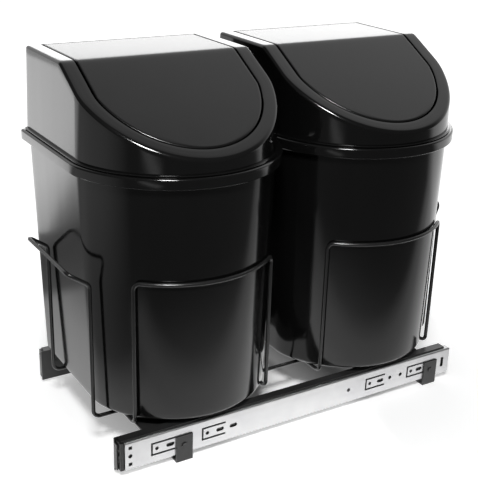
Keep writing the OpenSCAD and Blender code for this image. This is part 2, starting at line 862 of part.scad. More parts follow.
on_right() cabinet_rail();  // right_cabinet_rail
on_left() cabinet_rail();  // left_cabinet_rail
on_right() middle_rail();  // right_middle_rail
on_left() middle_rail();  // left_middle_rail
on_right() drawer_rail();  // right_drawer_rail
on_left() drawer_rail();  // left_drawer_rail
on_right() outer_cage();  // right_outer_cage
on_left() outer_cage();  // left_outer_cage
on_right() inner_cage();  // right_inner_cage
on_left() inner_cage();  // left_inner_cage
on_right() outer_balls();  // right_outer_balls
on_left() outer_balls();  // left_outer_balls
on_right() inner_balls();  // right_inner_balls
on_left() inner_balls();  // left_inner_balls
on_right() middle_cap();  // right_middle_cap
on_left() middle_cap();  // left_middle_cap
on_right() rear_buffer();  // right_rear_buffer
on_left() rear_buffer();  // left_rear_buffer
floor_strip(front_strip_y);  // front_floor_strip
floor_strip(rear_strip_y);  // rear_floor_strip
strip_rivets();
on_right() side_rail();  // right_side_rail
on_left() side_rail();  // left_side_rail
cross_plate(front_plate_y);  // front_cross_plate
cross_plate(rear_plate_y);  // rear_cross_plate
rail_rivets();
long_wire();
cradle(front_bin_y);  // front_cradle
cradle(rear_bin_y);  // rear_cradle
bin(front_bin_y);  // front_bin
bin(rear_bin_y);  // rear_bin
lid(front_bin_y);  // front_lid
lid(rear_bin_y);  // rear_lid
flap(front_bin_y);  // front_flap
flap(rear_bin_y);  // rear_flap
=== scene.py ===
import json
import math

import bmesh
import bpy
from mathutils import Matrix, Vector


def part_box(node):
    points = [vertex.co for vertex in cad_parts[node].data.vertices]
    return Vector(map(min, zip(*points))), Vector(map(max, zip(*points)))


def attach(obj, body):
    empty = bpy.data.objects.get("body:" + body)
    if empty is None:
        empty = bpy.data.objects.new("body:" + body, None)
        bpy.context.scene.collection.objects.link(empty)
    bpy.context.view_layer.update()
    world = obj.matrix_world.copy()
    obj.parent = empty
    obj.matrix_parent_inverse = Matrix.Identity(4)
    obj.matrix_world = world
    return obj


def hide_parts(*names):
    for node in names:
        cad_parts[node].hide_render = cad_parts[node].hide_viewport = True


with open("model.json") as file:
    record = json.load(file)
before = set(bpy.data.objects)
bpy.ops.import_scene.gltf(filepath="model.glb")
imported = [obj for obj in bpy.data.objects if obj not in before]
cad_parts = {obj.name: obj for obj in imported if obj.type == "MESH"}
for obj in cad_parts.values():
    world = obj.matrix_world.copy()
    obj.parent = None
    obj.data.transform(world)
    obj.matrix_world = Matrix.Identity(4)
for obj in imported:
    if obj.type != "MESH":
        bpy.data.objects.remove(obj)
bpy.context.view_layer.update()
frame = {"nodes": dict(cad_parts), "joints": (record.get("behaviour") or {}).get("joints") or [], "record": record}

# Sizes are in millimetres, as in the part's source, and turn into metres when a mesh is made.
MM = 0.001
ENDS = ("front", "rear")

# The bins' and lids' sizes that the frame's boxes don't give
ARC_BULGE = 2.5
BLEND_SHARE = 0.55
BIN_WALL = 2.2
BIN_FLOOR = 2.5
RIM_OVERHANG = 7.1
RIM_SKIRT = 11.5
RIM_ROUND = 2.4
BIN_BOTTOM_HALF = 105.0
BIN_BOTTOM_FRONT = 128.5
BIN_BOTTOM_BACK = -104.5
BIN_CORNER = 6.0
FOOT_ROUND = 5.0
LID_WALL = 2.2
LID_BASE = 2.0
LID_CORNER = 4.0
LID_SIDE_LEAN = 2.2
LID_BACK_LEAN = 4.1
LID_BASE_LEDGE = 3.0
LID_BACK_LEDGE = 0.6
LID_EDGE_ROUND = 3.0
LID_TOP_DEPTH = 98.0
LID_SIDE_BAND = 16.8
LID_SLOPE = math.radians(29.2)
LID_BEND_SOFTNESS = 2.0
LID_REST_GAP = 0.3
PLUG_DEPTH = 9.0
PLUG_WALL = 1.8
PLUG_PLAY = 0.6
FLAP_GAP = 2.0
FLAP_SHEET = 2.5
FLAP_EDGE_ROUND = 1.2
FLAP_CORNER = 2.0
FLAP_TIP_HALF = 0.4
PIN_RADIUS = 3.0
PIN_BORE = 3.08
PIN_ROOT = 0.5
PIN_CHAMFER = 0.5
PIN_SHORTFALL = 0.3
EAR_RADIUS = 7.0
EAR_SHEET = 3.0
EAR_ROOT = 0.4
EAR_WIDENING = 1.5
EAR_RAISING = 1.6
FLAP_EAR_INSET = 5.0
LID_EAR_OFFSET = 1.5

# The hollow under the bins, as insets from the wall
FOOT_HOLLOW = 1.2
HOLLOW_MIDDLE_INSET = 34
HOLLOW_EDGE_INSET = 22
FOOT_EDGE_INSET = 20
BIN_FLOOR_INSET = 30

# Small broken edges; a bevel is an inset and a drop, or a share of the band and a drop
CORNER_LOSS = 0.5
SKIRT_INNER_EDGE = 0.5
SKIRT_OUTER_EDGE = 0.7
RIM_INNER_EDGE = 0.6
PLUG_EDGE = 0.5
FLANGE_CORNER = LID_CORNER + 2
FLANGE_LOWER_EDGE = 0.6
FLANGE_UPPER_EDGE = 0.8
FLANGE_BEVEL = (0.3, 0.2)
OPENING_BEVEL = (0.96, 0.08)
OPENING_EDGE = 0.6
UNDERSIDE_GAP = 0.6

# How finely the shells are divided
BACK_POINTS = 10
CORNER_POINTS = 8
SIDE_POINTS = 14
BEND_STEPS = (-7, -5, -3.5, -2.4, -1.6, -0.9, -0.4, 0, 0.4, 0.9, 1.6, 2.4, 3.5, 5, 7)
AFTER_BEND = 1
AHEAD_POINTS = 6
BLEND_POINTS = 14
ARC_POINTS = 40
CIRCLE_POINTS = 32
FOOT_STEPS = 7
INNER_FOOT_STEPS = 5
RIM_STEPS = 6
LID_EDGE_STEPS = 7
BIN_WALL_SHARES = (0.02, 0.25, 0.5, 0.75, 0.98, 1)
LID_WALL_SHARES = (0, 0.03, 0.2, 0.45, 0.7, 0.9, 1)
LID_INNER_SHARES = (1, 0.6, 0.2, 0)
LID_BAND_SHARES = (0.3, 0.6, 0.88)
LID_BAND_MIDDLE = 0.5
FLAP_EDGE_STEPS = (0, 0.25, 0.7, 1.4, 3)
FLAP_EDGE_SHARE = 0.8
FLAP_COLUMNS = 12
FITTING_ROUNDS = 4
FITTING_DIGITS = 2
SHARP_ANGLE = math.radians(35)


def box_mm(node):
    """A node's lowest and highest corner, in millimetres."""
    low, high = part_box(node)
    return low / MM, high / MM


# Outlines: a section is a D's half width, its front and its back

def lerp(a, b, t):
    return a + (b - a) * t


def spread(start, end, count):
    """count values from start up to, but not including, end."""
    return [lerp(start, end, i / count) for i in range(count)]


def quarter(count):
    """Angles of a quarter turn, both ends included."""
    return [math.pi / 2 * i / count for i in range(count + 1)]


def arc(centre_x, centre_y, radius, start, end, count):
    angles = spread(start, end, count)
    return [(centre_x + radius * math.cos(a), centre_y + radius * math.sin(a)) for a in angles]


def circle(centre_x, centre_y, radius):
    return arc(centre_x, centre_y, radius, 0, 2 * math.pi, CIRCLE_POINTS)


def half_plan(section, corner, bend):
    """One half of a D outline: from the back's middle, along the +Y side, to the front's middle."""
    half, front, back = section
    radius = half + ARC_BULGE
    centre = front - radius
    blend = half * BLEND_SHARE
    blend_x = centre + math.sqrt(ARC_BULGE * (2 * half + ARC_BULGE - 2 * blend))
    turn = math.atan2(half - blend, blend_x - centre)
    right = math.pi / 2
    points = [(back, y) for y in spread(0, half - corner, BACK_POINTS)]
    points += arc(back + corner, half - corner, corner, math.pi, right, CORNER_POINTS)
    points += [(x, half) for x in spread(back + corner, bend + BEND_STEPS[0], SIDE_POINTS)]
    points += [(bend + step, half) for step in BEND_STEPS]
    points += [(x, half) for x in spread(bend + BEND_STEPS[-1] + AFTER_BEND, blend_x, AHEAD_POINTS)]
    points += arc(blend_x, half - blend, blend, right, turn, BLEND_POINTS)
    points += arc(centre, 0, radius, turn, 0, ARC_POINTS)
    points.append((front, 0))
    return points


def plan(section, corner, bend):
    """A closed D outline, the back's middle first."""
    side = half_plan(section, corner, bend)
    return side + [(x, -y) for x, y in reversed(side[1:-1])]


def inset(section, amount):
    half, front, back = section
    return (half - amount, front - amount, back + amount)


def mix(low, high, t):
    return tuple(lerp(a, b, t) for a, b in zip(low, high))


# Meshes

def new_object(name, bm):
    """A smooth shaded object from a mesh in millimetres."""
    bmesh.ops.recalc_face_normals(bm, faces=bm.faces)
    bmesh.ops.scale(bm, vec=(MM, MM, MM), verts=bm.verts)
    mesh = bpy.data.meshes.new(name)
    bm.to_mesh(mesh)
    bm.free()
    for polygon in mesh.polygons:
        polygon.use_smooth = True
    mesh.set_sharp_from_angle(angle=SHARP_ANGLE)
    obj = bpy.data.objects.new(name, mesh)
    bpy.context.scene.collection.objects.link(obj)
    return obj


def add_loft(bm, rings, closed=False):
    """Faces between neighbouring rings. An open loft gets a cap at each end."""
    loops = [[bm.verts.new(p) for p in ring] for ring in rings]
    pairs = list(zip(loops, loops[1:]))
    if closed:
        pairs.append((loops[-1], loops[0]))
    else:
        bm.faces.new(loops[0])
        bm.faces.new(loops[-1])
    for low, high in pairs:
        count = len(low)
        for i in range(count):
            j = (i + 1) % count
            bm.faces.new((low[i], low[j], high[j], high[i]))


def add_prism(bm, outline, y0, y1):
    """A plate between two Y planes, its outline given in X and Z."""
    add_loft(bm, [[(x, y, z) for x, z in outline] for y in (y0, y1)])


def add_tube_plate(bm, outline, hole, y0, y1):
    """A plate with a hole: outline and hole have the same count of points."""
    lines = ((outline, y0), (outline, y1), (hole, y1), (hole, y0))
    add_loft(bm, [[(x, y, z) for x, z in line] for line, y in lines], closed=True)


def add_sheet(bm, top_rows, under_rows):
    """A closed sheet between two grids of the same shape."""
    tops = [[bm.verts.new(p) for p in row] for row in top_rows]
    unders = [[bm.verts.new(p) for p in row] for row in under_rows]
    rows, columns = len(tops), len(tops[0])
    for grid in (tops, unders):
        for i in range(rows - 1):
            for j in range(columns - 1):
                bm.faces.new((grid[i][j], grid[i][j + 1], grid[i + 1][j + 1], grid[i + 1][j]))
    rim = [(i, 0) for i in range(rows)]
    rim += [(rows - 1, j) for j in range(1, columns)]
    rim += [(i, columns - 1) for i in range(rows - 2, -1, -1)]
    rim += [(0, j) for j in range(columns - 2, 0, -1)]
    for (i, j), (k, m) in zip(rim, rim[1:] + rim[:1]):
        bm.faces.new((tops[i][j], tops[k][m], unders[k][m], unders[i][j]))


# Bins

def bin_shape(end):
    """The bin's section as a function of height, with its bottom and rim heights and its middle in Y."""
    low, high = box_mm(end + "_bin")
    rim_half = (high.y - low.y) / 2
    top = inset((rim_half, high.x, low.x), RIM_OVERHANG)
    bottom = (BIN_BOTTOM_HALF, BIN_BOTTOM_FRONT, BIN_BOTTOM_BACK)

    def section(z):
        return mix(bottom, top, (z - low.z) / (high.z - low.z))

    return section, low.z, high.z, (low.y + high.y) / 2


def make_bin(end):
    """A bin with a hollow foot and a rolled rim, as one loft from under the foot to the inner floor."""
    section, floor, rim, middle = bin_shape(end)
    rim_section = section(rim)

    def ring(z, outward, base=None):
        corner = BIN_CORNER + min(outward, 0) * CORNER_LOSS
        outline = plan(inset(base or section(z), -outward), corner, 0)
        return [(x, y + middle, z) for x, y in outline]

    foot = [
        ring(floor + FOOT_HOLLOW, -HOLLOW_MIDDLE_INSET),
        ring(floor + FOOT_HOLLOW, -HOLLOW_EDGE_INSET),
        ring(floor, -FOOT_EDGE_INSET),
    ]
    foot += [
        ring(floor + FOOT_ROUND * (1 - math.cos(a)), -FOOT_ROUND * (1 - math.sin(a)))
        for a in quarter(FOOT_STEPS)
    ]
    wall = [ring(lerp(floor + FOOT_ROUND, rim - BIN_WALL, share), 0) for share in BIN_WALL_SHARES]
    inside = RIM_OVERHANG - BIN_WALL
    skirt_end = rim - RIM_SKIRT
    skirt = [
        ring(rim - BIN_WALL, inside, rim_section),
        ring(skirt_end + SKIRT_INNER_EDGE, inside, rim_section),
        ring(skirt_end, inside + SKIRT_INNER_EDGE, rim_section),
        ring(skirt_end, RIM_OVERHANG - SKIRT_OUTER_EDGE, rim_section),
        ring(skirt_end + SKIRT_OUTER_EDGE, RIM_OVERHANG, rim_section),
    ]
    skirt += [
        ring(rim - RIM_ROUND * (1 - math.sin(a)), RIM_OVERHANG - RIM_ROUND * (1 - math.cos(a)), rim_section)
        for a in quarter(RIM_STEPS)
    ]
    inner_floor = floor + BIN_FLOOR
    inner = [
        ring(rim, -BIN_WALL + RIM_INNER_EDGE, rim_section),
        ring(rim - RIM_INNER_EDGE, -BIN_WALL),
        ring((floor + rim) / 2, -BIN_WALL),
        ring(inner_floor + FOOT_ROUND, -BIN_WALL),
    ]
    inner += [
        ring(inner_floor + FOOT_ROUND * (1 - math.sin(a)), -BIN_WALL - FOOT_ROUND * (1 - math.cos(a)))
        for a in quarter(INNER_FOOT_STEPS)[1:]
    ]
    inner.append(ring(inner_floor, -BIN_WALL - BIN_FLOOR_INSET))
    bm = bmesh.new()
    add_loft(bm, foot + wall + skirt + inner)
    return new_object(end + "_bin_shell", bm)


# Lids and flaps

class LidShape:
    """Sizes of one lid and its flap, worked out from the frame's boxes and joints."""

    def __init__(self, end):
        low, high = box_mm(end + "_lid")
        _, flap_high = box_mm(end + "_flap")
        _, _, rim, self.middle = bin_shape(end)
        self.end = end
        self.base = rim + LID_REST_GAP
        self.top = high.z
        self.flange = ((high.y - low.y) / 2, high.x, low.x)
        half, front, back = self.flange
        self.low = (half - LID_BASE_LEDGE, front - LID_BASE_LEDGE, back + LID_BACK_LEDGE)
        half, front, back = self.low
        self.high = (half - LID_SIDE_LEAN, front - LID_SIDE_LEAN, back + LID_BACK_LEAN)
        half, _, back = self.high
        self.bend = back + LID_TOP_DEPTH
        self.opening = (half - LID_SIDE_BAND, flap_high.x + FLAP_GAP, back + LID_WALL)
        self.flap = inset(self.opening, FLAP_GAP)
        joint = next(j for j in frame["joints"] if j["name"] == end + "_flap_swing")
        self.pivot = Vector(joint["pos_m"]) / MM

    def section(self, z):
        return mix(self.low, self.high, (z - self.base) / (self.top - self.base))

    def surface(self, x, drop=0.0):
        """Height of the top: level behind the bend, sloping ahead of it, lowered square to itself."""
        ahead = x - self.bend + drop * math.tan(LID_SLOPE / 2)
        run = (ahead + math.hypot(ahead, LID_BEND_SOFTNESS)) / 2
        return self.top - drop - run * math.tan(LID_SLOPE)


def wall_ring(shape, share, inward, drop):
    """A ring on the lid's leaning wall, at a share of the way from its base to its top edge."""
    base = shape.base + LID_BASE

    def wall_plan(z):
        return plan(inset(shape.section(z), inward), LID_CORNER - inward * CORNER_LOSS, shape.bend)

    def height(x):
        return lerp(base, shape.surface(x) - drop, share)

    points = wall_plan(base)
    for _ in range(FITTING_ROUNDS):
        plans = {}
        moved = []
        for i, (x, _) in enumerate(points):
            z = height(x)
            key = round(z, FITTING_DIGITS)
            if key not in plans:
                plans[key] = wall_plan(z)
            moved.append(plans[key][i])
        points = moved
    return [(x, y + shape.middle, height(x)) for x, y in points]


def edge_ring(shape, inward, drop):
    """A ring on the rounded edge of the lid's top."""
    outer = wall_ring(shape, 1, inward, drop)
    return [(x, y, shape.surface(x) - drop) for x, y, _ in outer]


def band_ring(shape, outer, share, drop):
    """A ring between the rounded edge and the opening, drop below the top."""
    opening = plan(shape.opening, FLAP_CORNER + FLAP_GAP, shape.bend)
    ring = []
    for (outer_x, outer_y, _), (x, y) in zip(outer, opening):
        x = lerp(outer_x, x, share)
        ring.append((x, lerp(outer_y, y + shape.middle, share), shape.surface(x, drop)))
    return ring


def flat_ring(shape, section, corner, z):
    return [(x, y + shape.middle, z) for x, y in plan(section, corner, shape.bend)]


def make_lid(shape):
    """A lid as one closed loft: plug, flange, wall, rounded edge, band and underside, with its ears."""
    base, inside, bottom = shape.base, shape.base + LID_BASE, shape.base - PLUG_DEPTH
    bin_section = bin_shape(shape.end)[0]
    outer_plug = inset(bin_section(bottom), BIN_WALL + PLUG_PLAY)
    inner_plug = inset(outer_plug, PLUG_WALL)
    plug = [
        flat_ring(shape, inner_plug, LID_CORNER, inside),
        flat_ring(shape, inner_plug, LID_CORNER, bottom + PLUG_EDGE),
        flat_ring(shape, inset(inner_plug, -PLUG_EDGE), LID_CORNER, bottom),
        flat_ring(shape, inset(outer_plug, PLUG_EDGE), LID_CORNER, bottom),
        flat_ring(shape, outer_plug, LID_CORNER, bottom + PLUG_EDGE),
        flat_ring(shape, outer_plug, LID_CORNER, base),
    ]
    bevel_inset, bevel_drop = FLANGE_BEVEL
    flange = [
        flat_ring(shape, inset(shape.flange, FLANGE_LOWER_EDGE), FLANGE_CORNER, base),
        flat_ring(shape, shape.flange, FLANGE_CORNER, base + FLANGE_LOWER_EDGE),
        flat_ring(shape, shape.flange, FLANGE_CORNER, inside - FLANGE_UPPER_EDGE),
        flat_ring(shape, inset(shape.flange, bevel_inset), FLANGE_CORNER, inside - bevel_drop),
        flat_ring(shape, inset(shape.flange, FLANGE_UPPER_EDGE), FLANGE_CORNER, inside),
    ]
    wall = [wall_ring(shape, share, 0, LID_EDGE_ROUND) for share in LID_WALL_SHARES]
    edge = [
        edge_ring(shape, LID_EDGE_ROUND * (1 - math.cos(a)), LID_EDGE_ROUND * (1 - math.sin(a)))
        for a in quarter(LID_EDGE_STEPS)[1:]
    ]
    outer = edge[-1]
    band = [band_ring(shape, outer, share, 0) for share in LID_BAND_SHARES]
    band += [
        band_ring(shape, outer, *OPENING_BEVEL),
        band_ring(shape, outer, 1, OPENING_EDGE),
        band_ring(shape, outer, 1, LID_WALL),
        band_ring(shape, outer, LID_BAND_MIDDLE, LID_WALL),
    ]
    under = [wall_ring(shape, share, LID_WALL, LID_WALL + UNDERSIDE_GAP) for share in LID_INNER_SHARES]
    bm = bmesh.new()
    add_loft(bm, plug + flange + wall + edge + band + under, closed=True)
    add_ears(bm, shape, shape.opening[0] + LID_EAR_OFFSET, LID_WALL, bored=True)
    return new_object(shape.end + "_lid_shell", bm)


def ear_outline(shape, cover):
    """An ear in X and Z: round below the pivot, and up to just inside a panel of the given thickness."""
    pivot = shape.pivot
    roof = [shape.surface(pivot.x + side * EAR_RADIUS, cover) + EAR_ROOT for side in (-1, 1)]
    outline = []
    for x, z in circle(0, 0, EAR_RADIUS):
        if z > 0:
            x = math.copysign(min(EAR_RADIUS, abs(x) * EAR_WIDENING), x)
            z = min(z * EAR_RAISING, lerp(*roof, (x / EAR_RADIUS + 1) / 2) - pivot.z)
        outline.append((pivot.x + x, pivot.z + z))
    return outline


def add_ears(bm, shape, start, cover, bored):
    """The two ears around the pivot, hung from the underside of a panel."""
    outline = ear_outline(shape, cover)
    hole = circle(shape.pivot.x, shape.pivot.z, PIN_BORE)
    for y in (start, -start - EAR_SHEET):
        y += shape.middle
        if bored:
            add_tube_plate(bm, outline, hole, y, y + EAR_SHEET)
        else:
            add_prism(bm, outline, y, y + EAR_SHEET)


def add_pin(bm, shape, direction, start, end):
    """A pivot pin with a chamfered end."""
    rings = []
    for reach, radius in (
        (start, PIN_RADIUS),
        (end - PIN_CHAMFER, PIN_RADIUS),
        (end, PIN_RADIUS - PIN_CHAMFER),
    ):
        y = shape.middle + direction * reach
        rings.append([(x, y, z) for x, z in circle(shape.pivot.x, shape.pivot.z, radius)])
    add_loft(bm, rings)


def edge_distance(section, x, y):
    """How far a point lies inside a D outline."""
    half, front, back = section
    radius = half + ARC_BULGE
    centre = front - radius
    side = half - abs(y)
    if x > centre:
        side = min(side, radius - math.hypot(x - centre, y))
    return max(0.0, min(side, x - back))


def rounded_drop(distance, radius):
    """How far a rounded edge lies below the face, at a distance in from the side."""
    if distance >= radius:
        return 0.0
    return radius - math.sqrt(radius ** 2 - (radius - distance) ** 2)


def flap_columns(half):
    """Places across the flap in Y, close together at its edges."""
    widest = FLAP_EDGE_STEPS[-1]
    edges = [half - min(step, half * FLAP_EDGE_SHARE * step / widest) for step in FLAP_EDGE_STEPS]
    inner = spread(edges[-1], -edges[-1], FLAP_COLUMNS)[1:]
    return edges + inner + [-y for y in reversed(edges)]


def make_flap(shape):
    """A bent flap with rounded edges, its ears and its pivot pins."""

    def top(x, y):
        drop = rounded_drop(edge_distance(shape.flap, x, y), FLAP_EDGE_ROUND)
        return (x, y + shape.middle, shape.surface(x) - drop)

    def under(x, y):
        return (x, y + shape.middle, shape.surface(x, FLAP_SHEET))

    side = half_plan(shape.flap, FLAP_CORNER, shape.bend)[BACK_POINTS:]
    rows = [[(x, y) for y in flap_columns(max(half, FLAP_TIP_HALF))] for x, half in side]
    top_rows = [[top(x, y) for x, y in row] for row in rows]
    under_rows = [[under(x, y) for x, y in row] for row in rows]
    bm = bmesh.new()
    add_sheet(bm, top_rows, under_rows)
    ear = shape.flap[0] - FLAP_EAR_INSET
    add_ears(bm, shape, ear, FLAP_SHEET, bored=False)
    pin_end = shape.opening[0] + LID_EAR_OFFSET + EAR_SHEET - PIN_SHORTFALL
    for direction in (-1, 1):
        add_pin(bm, shape, direction, ear + EAR_SHEET - PIN_ROOT, pin_end)
    return new_object(shape.end + "_flap_panel", bm)


# Materials

NOISE_LOW, NOISE_HIGH = 0.3, 0.7


def new_material(name):
    """A material with its node tree and its main shader."""
    material = bpy.data.materials.new(name)
    material.use_nodes = True
    shader = material.node_tree.nodes["Principled BSDF"]
    return material, material.node_tree, shader


def object_noise(tree, scale, detail, stretch=(1, 1, 1)):
    """A noise texture in object space, stretched along the axes."""
    coordinates = tree.nodes.new("ShaderNodeTexCoord")
    mapping = tree.nodes.new("ShaderNodeMapping")
    mapping.inputs["Scale"].default_value = stretch
    noise = tree.nodes.new("ShaderNodeTexNoise")
    noise.inputs["Scale"].default_value = scale
    noise.inputs["Detail"].default_value = detail
    tree.links.new(coordinates.outputs["Object"], mapping.inputs["Vector"])
    tree.links.new(mapping.outputs["Vector"], noise.inputs["Vector"])
    return noise.outputs["Fac"]


def math_node(tree, operation, first, second):
    node = tree.nodes.new("ShaderNodeMath")
    node.operation = operation
    tree.links.new(first, node.inputs[0])
    tree.links.new(second, node.inputs[1])
    return node.outputs["Value"]


def vector_node(tree, operation, output, vector):
    node = tree.nodes.new("ShaderNodeVectorMath")
    node.operation = operation
    tree.links.new(vector, node.inputs[0])
    return node.outputs[output]


def ramp_node(tree, value, start, end, low, high):
    """Maps start to low and end to high, held at both ends."""
    node = tree.nodes.new("ShaderNodeMapRange")
    node.inputs["From Min"].default_value = start
    node.inputs["From Max"].default_value = end
    node.inputs["To Min"].default_value = low
    node.inputs["To Max"].default_value = high
    tree.links.new(value, node.inputs["Value"])
    return node.outputs["Result"]


def vary(tree, factor, target, low, high):
    """Maps a noise factor to a range and feeds it to a shader socket."""
    tree.links.new(ramp_node(tree, factor, NOISE_LOW, NOISE_HIGH, low, high), target)


def tint(tree, factor, target, dark, pale):
    """Mixes two colours by a noise factor into a colour socket."""
    ramp = tree.nodes.new("ShaderNodeValToRGB")
    ends = ramp.color_ramp.elements
    ends[0].position, ends[1].position = NOISE_LOW, NOISE_HIGH
    ends[0].color, ends[1].color = (*dark, 1), (*pale, 1)
    tree.links.new(factor, ramp.inputs["Fac"])
    tree.links.new(ramp.outputs["Color"], target)


def bump(tree, factor, shader, strength, distance):
    node = tree.nodes.new("ShaderNodeBump")
    node.inputs["Strength"].default_value = strength
    node.inputs["Distance"].default_value = distance
    tree.links.new(factor, node.inputs["Height"])
    tree.links.new(node.outputs["Normal"], shader.inputs["Normal"])


def grey(level):
    return (level, level, level)


def gloss_plastic(name, dark, pale, roughness):
    """Glossy moulded plastic with faint upright flow lines."""
    material, tree, shader = new_material(name)
    flow = object_noise(tree, scale=22, detail=2, stretch=(1, 1, 0.06))
    grain = object_noise(tree, scale=900, detail=2)
    tint(tree, flow, shader.inputs["Base Color"], dark, pale)
    vary(tree, grain, shader.inputs["Roughness"], *roughness)
    bump(tree, flow, shader, strength=0.12, distance=0.001)
    return material


def satin_plastic(name, dark, pale, roughness):
    """Satin plastic with a fine grain."""
    material, tree, shader = new_material(name)
    cloud = object_noise(tree, scale=30, detail=3)
    grain = object_noise(tree, scale=1400, detail=2)
    tint(tree, cloud, shader.inputs["Base Color"], dark, pale)
    vary(tree, grain, shader.inputs["Roughness"], *roughness)
    bump(tree, grain, shader, strength=0.06, distance=0.0002)
    return material


def coated_steel(name, dark, pale, roughness):
    """Steel under a powder coat."""
    material, tree, shader = new_material(name)
    cloud = object_noise(tree, scale=60, detail=3)
    orange_peel = object_noise(tree, scale=700, detail=2)
    tint(tree, cloud, shader.inputs["Base Color"], dark, pale)
    vary(tree, orange_peel, shader.inputs["Roughness"], *roughness)
    bump(tree, orange_peel, shader, strength=0.12, distance=0.0003)
    return material


def zinc_steel(name, dark, pale, roughness=(0.28, 0.42)):
    """Bare or zinc plated steel, rolled along Y."""
    material, tree, shader = new_material(name)
    rolled = object_noise(tree, scale=220, detail=4, stretch=(1, 0.02, 1))
    cloud = object_noise(tree, scale=25, detail=3)
    tint(tree, cloud, shader.inputs["Base Color"], dark, pale)
    vary(tree, rolled, shader.inputs["Roughness"], *roughness)
    bump(tree, rolled, shader, strength=0.08, distance=0.0002)
    shader.inputs["Metallic"].default_value = 1.0
    return material


def paint(obj, material):
    """Gives every material slot of an object one material."""
    if not obj.material_slots:
        obj.data.materials.append(material)
    for slot in obj.material_slots:
        slot.material = material


MATERIALS = {
    "bin_plastic": gloss_plastic("gloss_black_plastic", grey(0.0020), grey(0.0030), (0.10, 0.14)),
    "flap_plastic": satin_plastic("satin_flap_plastic", grey(0.002), grey(0.003), (0.20, 0.26)),
    "black_plastic": satin_plastic("satin_black_plastic", grey(0.010), grey(0.016), (0.30, 0.40)),
    "black_sheet": coated_steel("black_coated_sheet", grey(0.012), grey(0.018), (0.30, 0.42)),
    "black_wire": coated_steel("black_coated_wire", grey(0.008), grey(0.013), (0.16, 0.26)),
    "zinc_steel": zinc_steel("rolled_zinc_steel", (0.53, 0.53, 0.54), grey(0.61)),
    # Painted shade: a darker steel for the members inside the slides, standing in for the shadow there
    "painted_shade_steel": zinc_steel("painted_shade_steel", grey(0.07), grey(0.10)),
    "ball_steel": zinc_steel("ball_steel", (0.70, 0.70, 0.71), (0.78, 0.78, 0.79)),
}


# The camera, at the photograph's place

PHOTO_WIDTH, PHOTO_HEIGHT = 478, 500
SENSOR = 36.0
CAMERA_AZIMUTH = math.radians(57.87)
CAMERA_ELEVATION = math.radians(21.97)
CAMERA_ROLL = math.radians(1.90)
CAMERA_DISTANCE = 1184.08
CAMERA_TARGET = Vector((-25.32, -10.80, 166.08))
FOCAL_PIXELS = 963.62
PRINCIPAL_POINT = (246.61, 247.77)
VIEW_END_METRES = 50
TOWARDS_CAMERA = Vector((math.sin(CAMERA_AZIMUTH), -math.cos(CAMERA_AZIMUTH), 0))
UP = Vector((0, 0, 1))


def make_camera():
    data = bpy.data.cameras.new("photo_camera")
    camera = bpy.data.objects.new("photo_camera", data)
    bpy.context.scene.collection.objects.link(camera)
    data.sensor_width = SENSOR
    data.lens = FOCAL_PIXELS * SENSOR / PHOTO_HEIGHT
    data.shift_x = (PHOTO_WIDTH / 2 - PRINCIPAL_POINT[0]) / PHOTO_HEIGHT
    data.shift_y = (PRINCIPAL_POINT[1] - PHOTO_HEIGHT / 2) / PHOTO_HEIGHT
    data.clip_end = VIEW_END_METRES
    back = TOWARDS_CAMERA * math.cos(CAMERA_ELEVATION) + UP * math.sin(CAMERA_ELEVATION)
    right = (-back).cross(UP).normalized()
    up = right.cross(-back)
    turned_right = math.cos(CAMERA_ROLL) * right + math.sin(CAMERA_ROLL) * up
    turned_up = math.cos(CAMERA_ROLL) * up - math.sin(CAMERA_ROLL) * right
    place = (CAMERA_TARGET + back * CAMERA_DISTANCE) * MM
    rotation = Matrix((turned_right, turned_up, back)).transposed()
    camera.matrix_world = Matrix.Translation(place) @ rotation.to_4x4()
    bpy.context.scene.camera = camera


# Floor and world. Their places are in metres, as shaders see them.

WHITE = (1, 1, 1, 1)
FLOOR_RADIUS = 6000
FLOOR_SEGMENTS = 96
FLOOR_COLOUR = (0.86, 0.86, 0.86, 1)
FLOOR_ROUGHNESS = 0.9
EAST, WEST = Vector((1, 0, 0)), Vector((-1, 0, 0))
NORTH, SOUTH = Vector((0, 1, 0)), Vector((0, -1, 0))

# The floor's glow as the camera sees it, by the distance from the object's middle
NEAR_GLOW, FAR_GLOW = 0.02, 1.0
GLOW_START, GLOW_END = 0.10, 0.45

# Patches of painted light and painted reflection on the floor: a level, then edges with their direction and where
# their fade starts and ends
# Painted light for camera rays: lightens the floor's shadow under the slide and between the bins
PAINTED_LIGHT_UNDER_SLIDE = (0.40, (WEST, -0.107, -0.090), (SOUTH, 0.09, 0.16), (NORTH, 0.05, 0.10))
PAINTED_LIGHT_BETWEEN_BINS = (0.16, (SOUTH, -0.035, -0.015), (NORTH, 0.03, 0.09), (EAST, 0.07, 0.10), (WEST, 0.05, 0.10))
# Painted reflections, seen only in mirrors: a bright patch around the object and two strips ahead of it
PAINTED_TABLE_REFLECTION = (0.65, (EAST, 0.15, 0.35), (WEST, 0.32, 0.36), (SOUTH, 0.33, 0.45))
PAINTED_NEAR_STRIP_REFLECTION = (0.40, (EAST, 0.27, 0.36), (WEST, -0.23, -0.16), (SOUTH, 0.50, 0.60))
PAINTED_FAR_STRIP_REFLECTION = (1.00, (EAST, 1.10, 1.18), (WEST, -1.00, -0.92), (SOUTH, 1.45, 1.60), (NORTH, -0.90, -0.80))
PAINTED_LIGHT_PATCHES = (PAINTED_LIGHT_UNDER_SLIDE, PAINTED_LIGHT_BETWEEN_BINS)
PAINTED_REFLECTION_PATCHES = (PAINTED_TABLE_REFLECTION, PAINTED_NEAR_STRIP_REFLECTION, PAINTED_FAR_STRIP_REFLECTION)

